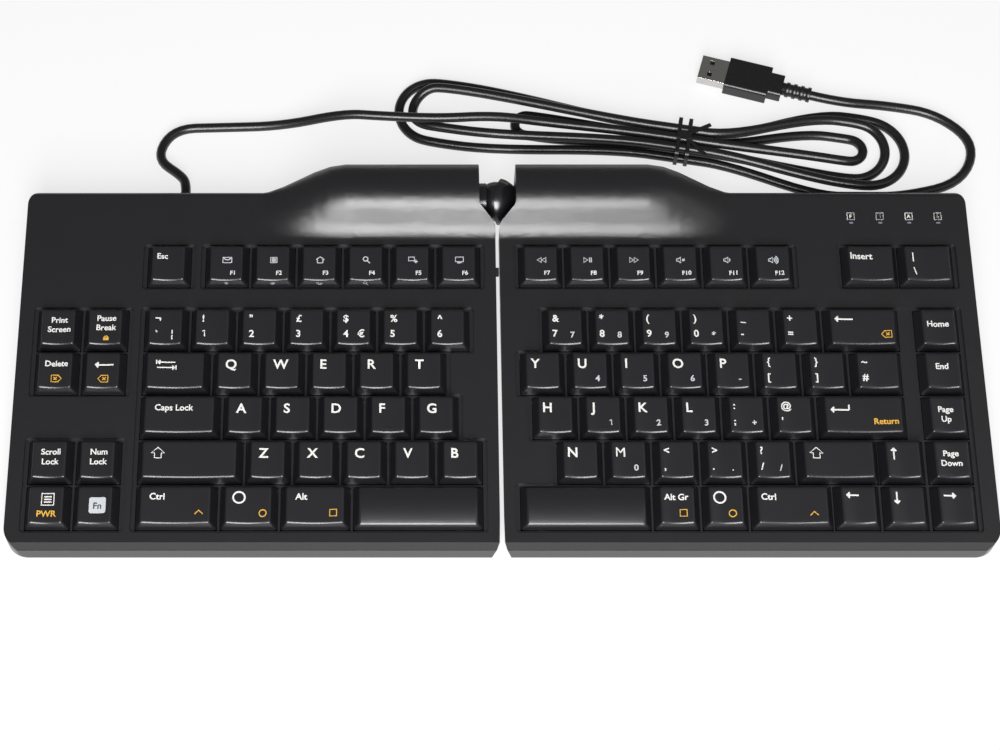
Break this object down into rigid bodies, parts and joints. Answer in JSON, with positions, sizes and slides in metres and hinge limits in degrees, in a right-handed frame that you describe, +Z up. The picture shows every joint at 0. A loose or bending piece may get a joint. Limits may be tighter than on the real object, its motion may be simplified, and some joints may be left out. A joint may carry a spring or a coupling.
{
  "type": "split ergonomic keyboard",
  "caption": "Compact split keyboard in two wedge halves joined by a rear ball joint, with humped back edges, low dished keys and a tied corded plug.",
  "frame": {"origin": "middle of the keyboard's outline on the desk plane under the rubber feet, without the cord", "axes": "+X to the user's right, +Y to the back edge with the hump, +Z up"},
  "size_m": [0.4039, 0.2352, 0.0324],
  "materials": {
    "case_plastic": "fine-textured satin black",
    "key_plastic": "smooth satin black with white legends",
    "gloss_plastic": "gloss black",
    "steel": "plain zinc-coated steel",
    "shell_steel": "bright nickel-plated steel",
    "rubber": "matt soft rubber",
    "film": "clear printed film",
    "board": "green lacquered board",
    "lens": "frosted clear plastic",
    "liner": "natural low-friction plastic",
    "tongue": "white plastic with gilt contacts",
    "cord_pvc": "soft satin black cable jacket",
    "tie": "thin black plastic-coated wire"
  },
  "bodies": {
    "left_half": {"left_top_cover": "case_plastic", "left_base": "case_plastic", "left_switch_plate": "steel", "left_dome_sheet": "rubber", "left_membrane": "film", "left_feet": "rubber", "left_case_screws": "steel", "ball_stud": "gloss_plastic", "left_collar": "gloss_plastic", "link_cable_left": "cord_pvc", "centre_bumper": "rubber", "cable_strain_relief": "cord_pvc", "cord_lead": "cord_pvc"},
    "joint_liner": {"friction_liner": "liner", "cord_hank": "cord_pvc", "cord_tail": "cord_pvc", "twist_tie": "tie", "plug_mould": "cord_pvc", "plug_boot": "cord_pvc", "plug_shell": "shell_steel", "plug_tongue": "tongue"},
    "right_half": {"right_top_cover": "case_plastic", "right_base": "case_plastic", "right_switch_plate": "steel", "right_dome_sheet": "rubber", "right_membrane": "film", "right_feet": "rubber", "right_case_screws": "steel", "socket_cup": "gloss_plastic", "lever_pin": "steel", "link_cable_right": "cord_pvc", "indicator_lights": "lens", "indicator_board": "board", "controller_board": "board"},
    "lever": {"lock_lever": "gloss_plastic"},
    "key_esc_body": {"key_esc": "key_plastic"},
    "keys_f1_f6_body": {"keys_f1_f6": "key_plastic"},
    "keys_nav_upper_body": {"keys_nav_upper": "key_plastic"},
    "keys_nav_lower_body": {"keys_nav_lower": "key_plastic"},
    "keys_left_numbers_body": {"keys_left_numbers": "key_plastic"},
    "keys_left_q_row_body": {"keys_left_q_row": "key_plastic"},
    "keys_left_a_row_body": {"keys_left_a_row": "key_plastic"},
    "key_left_shift_body": {"key_left_shift": "key_plastic"},
    "keys_left_z_row_body": {"keys_left_z_row": "key_plastic"},
    "keys_left_modifiers_body": {"keys_left_modifiers": "key_plastic"},
    "key_left_space_body": {"key_left_space": "key_plastic"},
    "key_backspace_body": {"key_backspace": "key_plastic"},
    "key_hash_body": {"key_hash": "key_plastic"},
    "key_return_body": {"key_return": "key_plastic"},
    "key_right_shift_body": {"key_right_shift": "key_plastic"},
    "key_right_space_body": {"key_right_space": "key_plastic"},
    "keys_arrows_body": {"keys_arrows": "key_plastic"},
    "keys_f7_f12_body": {"keys_f7_f12": "key_plastic"},
    "keys_insert_slash_body": {"keys_insert_slash": "key_plastic"},
    "keys_nav_column_body": {"keys_nav_column": "key_plastic"},
    "keys_right_h_row_body": {"keys_right_h_row": "key_plastic"},
    "keys_right_modifiers_body": {"keys_right_modifiers": "key_plastic"},
    "keys_right_n_row_body": {"keys_right_n_row": "key_plastic"},
    "keys_right_numbers_body": {"keys_right_numbers": "key_plastic"},
    "keys_right_y_row_body": {"keys_right_y_row": "key_plastic"}
  },
  "joints": [
    {"name": "splay", "type": "hinge", "parent": "left_half", "child": "joint_liner", "pos_m": [0, 0.073, 0.012], "axis": [0, 0, 1], "range_deg": [0, 30], "deforming": ["cord_lead"]},
    {"name": "tent", "type": "hinge", "parent": "joint_liner", "child": "right_half", "pos_m": [0, 0.073, 0.012], "axis": [0, 1, 0], "range_deg": [0, 30]},
    {"name": "lock", "type": "hinge", "parent": "right_half", "child": "lever", "pos_m": [0.024, 0.0809, 0.013], "axis": [0, 0, 1], "range_deg": [0, 90]},
    {"name": "press_esc", "type": "slide", "parent": "left_half", "child": "key_esc_body", "axis": [0, 0.0698, -0.9976], "range_m": [0, 0.0028], "stiffness_N_per_m": 100, "springref_m": -0.0006},
    {"name": "press_f1_f6", "type": "slide", "parent": "left_half", "child": "keys_f1_f6_body", "axis": [0, 0.0698, -0.9976], "range_m": [0, 0.0028], "stiffness_N_per_m": 600, "springref_m": -0.0006},
    {"name": "press_nav_upper", "type": "slide", "parent": "left_half", "child": "keys_nav_upper_body", "axis": [0, 0.0698, -0.9976], "range_m": [0, 0.0028], "stiffness_N_per_m": 400, "springref_m": -0.0006},
    {"name": "press_nav_lower", "type": "slide", "parent": "left_half", "child": "keys_nav_lower_body", "axis": [0, 0.0698, -0.9976], "range_m": [0, 0.0028], "stiffness_N_per_m": 400, "springref_m": -0.0006},
    {"name": "press_left_numbers", "type": "slide", "parent": "left_half", "child": "keys_left_numbers_body", "axis": [0, 0.0698, -0.9976], "range_m": [0, 0.0028], "stiffness_N_per_m": 700, "springref_m": -0.0006},
    {"name": "press_left_q_row", "type": "slide", "parent": "left_half", "child": "keys_left_q_row_body", "axis": [0, 0.0698, -0.9976], "range_m": [0, 0.0028], "stiffness_N_per_m": 600, "springref_m": -0.0006},
    {"name": "press_left_a_row", "type": "slide", "parent": "left_half", "child": "keys_left_a_row_body", "axis": [0, 0.0698, -0.9976], "range_m": [0, 0.0028], "stiffness_N_per_m": 600, "springref_m": -0.0006},
    {"name": "press_left_shift", "type": "slide", "parent": "left_half", "child": "key_left_shift_body", "axis": [0, 0.0698, -0.9976], "range_m": [0, 0.0028], "stiffness_N_per_m": 100, "springref_m": -0.0006},
    {"name": "press_left_z_row", "type": "slide", "parent": "left_half", "child": "keys_left_z_row_body", "axis": [0, 0.0698, -0.9976], "range_m": [0, 0.0028], "stiffness_N_per_m": 500, "springref_m": -0.0006},
    {"name": "press_left_modifiers", "type": "slide", "parent": "left_half", "child": "keys_left_modifiers_body", "axis": [0, 0.0698, -0.9976], "range_m": [0, 0.0028], "stiffness_N_per_m": 300, "springref_m": -0.0006},
    {"name": "press_left_space", "type": "slide", "parent": "left_half", "child": "key_left_space_body", "axis": [0, 0.0698, -0.9976], "range_m": [0, 0.0028], "stiffness_N_per_m": 100, "springref_m": -0.0006},
    {"name": "press_backspace", "type": "slide", "parent": "right_half", "child": "key_backspace_body", "axis": [0, 0.0698, -0.9976], "range_m": [0, 0.0028], "stiffness_N_per_m": 100, "springref_m": -0.0006},
    {"name": "press_hash", "type": "slide", "parent": "right_half", "child": "key_hash_body", "axis": [0, 0.0698, -0.9976], "range_m": [0, 0.0028], "stiffness_N_per_m": 100, "springref_m": -0.0006},
    {"name": "press_return", "type": "slide", "parent": "right_half", "child": "key_return_body", "axis": [0, 0.0698, -0.9976], "range_m": [0, 0.0028], "stiffness_N_per_m": 100, "springref_m": -0.0006},
    {"name": "press_right_shift", "type": "slide", "parent": "right_half", "child": "key_right_shift_body", "axis": [0, 0.0698, -0.9976], "range_m": [0, 0.0028], "stiffness_N_per_m": 100, "springref_m": -0.0006},
    {"name": "press_right_space", "type": "slide", "parent": "right_half", "child": "key_right_space_body", "axis": [0, 0.0698, -0.9976], "range_m": [0, 0.0028], "stiffness_N_per_m": 100, "springref_m": -0.0006},
    {"name": "press_arrows", "type": "slide", "parent": "right_half", "child": "keys_arrows_body", "axis": [0, 0.0698, -0.9976], "range_m": [0, 0.0028], "stiffness_N_per_m": 300, "springref_m": -0.0006},
    {"name": "press_f7_f12", "type": "slide", "parent": "right_half", "child": "keys_f7_f12_body", "axis": [0, 0.0698, -0.9976], "range_m": [0, 0.0028], "stiffness_N_per_m": 600, "springref_m": -0.0006},
    {"name": "press_insert_slash", "type": "slide", "parent": "right_half", "child": "keys_insert_slash_body", "axis": [0, 0.0698, -0.9976], "range_m": [0, 0.0028], "stiffness_N_per_m": 200, "springref_m": -0.0006},
    {"name": "press_nav_column", "type": "slide", "parent": "right_half", "child": "keys_nav_column_body", "axis": [0, 0.0698, -0.9976], "range_m": [0, 0.0028], "stiffness_N_per_m": 500, "springref_m": -0.0006},
    {"name": "press_right_h_row", "type": "slide", "parent": "right_half", "child": "keys_right_h_row_body", "axis": [0, 0.0698, -0.9976], "range_m": [0, 0.0028], "stiffness_N_per_m": 600, "springref_m": -0.0006},
    {"name": "press_right_modifiers", "type": "slide", "parent": "right_half", "child": "keys_right_modifiers_body", "axis": [0, 0.0698, -0.9976], "range_m": [0, 0.0028], "stiffness_N_per_m": 300, "springref_m": -0.0006},
    {"name": "press_right_n_row", "type": "slide", "parent": "right_half", "child": "keys_right_n_row_body", "axis": [0, 0.0698, -0.9976], "range_m": [0, 0.0028], "stiffness_N_per_m": 500, "springref_m": -0.0006},
    {"name": "press_right_numbers", "type": "slide", "parent": "right_half", "child": "keys_right_numbers_body", "axis": [0, 0.0698, -0.9976], "range_m": [0, 0.0028], "stiffness_N_per_m": 600, "springref_m": -0.0006},
    {"name": "press_right_y_row", "type": "slide", "parent": "right_half", "child": "keys_right_y_row_body", "axis": [0, 0.0698, -0.9976], "range_m": [0, 0.0028], "stiffness_N_per_m": 700, "springref_m": -0.0006}
  ]
}
